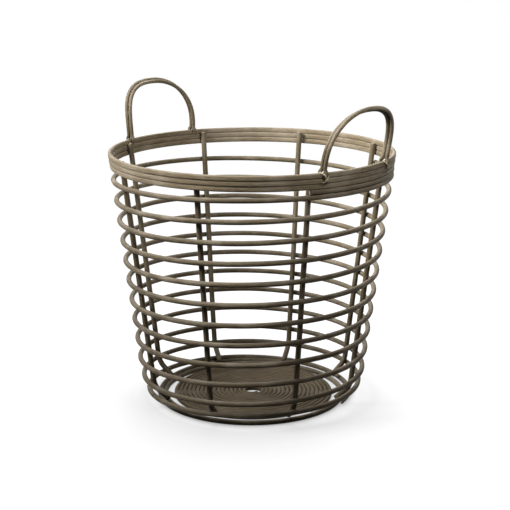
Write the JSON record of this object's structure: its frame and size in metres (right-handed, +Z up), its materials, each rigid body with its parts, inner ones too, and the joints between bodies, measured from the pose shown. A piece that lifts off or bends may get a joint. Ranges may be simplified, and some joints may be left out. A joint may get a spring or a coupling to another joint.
{
  "type": "log basket",
  "caption": "Round open basket of stained cane that widens upwards, with bent uprights, a spiral wall, a banded rim, a coiled base and two looped handles.",
  "frame": {"origin": "on the floor, under the centre of the round body", "axes": "+Z up; the two handles stand on the X axis, at +X (right) and -X (left); the wall cane climbs anticlockwise seen from above"},
  "size_m": [0.5422, 0.5, 0.5497],
  "materials": {
    "upright_cane": "matt stain, light wear",
    "wall_cane": "matt stain, light wear",
    "rim_cane": "matt stain, light wear",
    "base_cane": "matt stain, light wear",
    "handle_cane": "matt stain, light wear",
    "lashing_peel": "matt stain, light wear"
  },
  "bodies": {
    "root": {"base_coil_inner": "base_cane", "base_coil_middle": "base_cane", "base_coil_outer": "base_cane", "foot_cane_inner": "wall_cane", "foot_cane_outer": "wall_cane", "handle_left_inner_cane": "handle_cane", "handle_left_outer_cane": "handle_cane", "handle_right_inner_cane": "handle_cane", "handle_right_outer_cane": "handle_cane", "lashing_left_back": "lashing_peel", "lashing_left_front": "lashing_peel", "lashing_right_back": "lashing_peel", "lashing_right_front": "lashing_peel", "rim_strand_bottom": "rim_cane", "rim_strand_middle": "rim_cane", "rim_strand_top": "rim_cane", "stake_1": "upright_cane", "stake_2": "upright_cane", "stake_3": "upright_cane", "stake_4": "upright_cane", "stake_5": "upright_cane", "stake_6": "upright_cane", "stake_7": "upright_cane", "stake_8": "upright_cane", "wall_cane_01": "wall_cane", "wall_cane_02": "wall_cane", "wall_cane_03": "wall_cane", "wall_cane_04": "wall_cane", "wall_cane_05": "wall_cane", "wall_cane_06": "wall_cane", "wall_cane_07": "wall_cane", "wall_cane_08": "wall_cane", "wall_cane_09": "wall_cane", "wall_cane_10": "wall_cane", "wall_cane_11": "wall_cane", "wall_cane_12": "wall_cane"}
  },
  "joints": []
}
